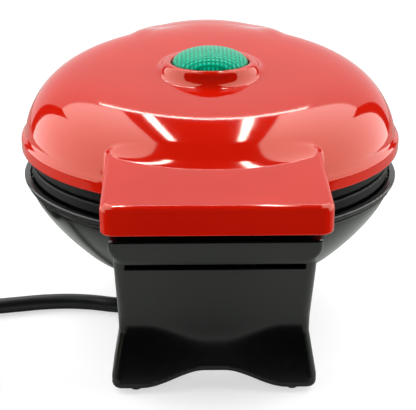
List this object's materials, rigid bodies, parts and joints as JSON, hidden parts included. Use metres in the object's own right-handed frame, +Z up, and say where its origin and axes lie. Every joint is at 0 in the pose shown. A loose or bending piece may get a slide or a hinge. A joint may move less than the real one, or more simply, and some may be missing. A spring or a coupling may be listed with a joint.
{
  "type": "waffle maker",
  "caption": "Small round waffle maker with a domed lid hinged at the back, a front handle, a bowl-shaped base on two legs and a mains lead.",
  "frame": {"origin": "on the floor under the middle of the appliance's length and width, leaving out the lead", "axes": "+Z up, +Y towards the hinge at the back, +X to the right seen from the front"},
  "size_m": [0.2268, 0.1628, 0.0975],
  "materials": {
    "red_gloss": "glossy red moulded plastic",
    "green_lens": "clear green prismatic lens",
    "black_satin": "satin to glossy black moulded plastic",
    "black_heatproof": "matte heat-proof black plastic",
    "plate_coating": "dark non-stick coating on a cast plate",
    "sheet_steel": "plated sheet steel",
    "screw_steel": "zinc plated steel",
    "lamp_glass": "clear neon lamp glass",
    "foot_rubber": "black rubber",
    "lead_plastic": "black flexible lead sheath",
    "blade_brass": "plated brass blades"
  },
  "bodies": {
    "base": {"base_housing": "black_satin", "lower_inner_ring": "black_heatproof", "lower_waffle_plate": "plate_coating", "lower_heating_element": "sheet_steel", "lower_heat_shield": "sheet_steel", "thermostat": "sheet_steel", "thermostat_bracket": "sheet_steel", "lower_thermal_fuse": "sheet_steel", "base_lead": "lead_plastic", "cord_clamp": "black_heatproof", "strain_relief": "lead_plastic", "base_screw_1": "screw_steel", "base_screw_2": "screw_steel", "base_screw_3": "screw_steel", "hinge_pin_left": "screw_steel", "front_foot_left": "foot_rubber", "rear_foot_left": "foot_rubber", "wire_connector_left": "lead_plastic", "hinge_pin_right": "screw_steel", "front_foot_right": "foot_rubber", "rear_foot_right": "foot_rubber", "wire_connector_right": "lead_plastic", "power_cord": "lead_plastic", "cord_coil": "lead_plastic", "cord_tail": "lead_plastic", "plug_body": "lead_plastic", "plug_blade_left": "blade_brass", "plug_blade_right": "blade_brass"},
    "lid": {"lid_cover": "red_gloss", "indicator_lens": "green_lens", "lens_retainer": "black_heatproof", "neon_lamp": "lamp_glass", "upper_inner_ring": "black_heatproof", "handle_liner": "black_satin", "upper_waffle_plate": "plate_coating", "upper_heating_element": "sheet_steel", "upper_heat_shield": "sheet_steel", "upper_thermal_fuse": "sheet_steel", "lid_lead": "lead_plastic", "lid_screw_1": "screw_steel", "upper_plate_screw_1": "screw_steel", "lid_screw_2": "screw_steel", "upper_plate_screw_2": "screw_steel", "lid_screw_3": "screw_steel", "upper_plate_screw_3": "screw_steel"}
  },
  "joints": [
    {"name": "lid_hinge", "type": "hinge", "parent": "base", "child": "lid", "pos_m": [0, 0.0746, 0.0596], "axis": [-1, 0, 0], "range_deg": [0, 100]}
  ]
}
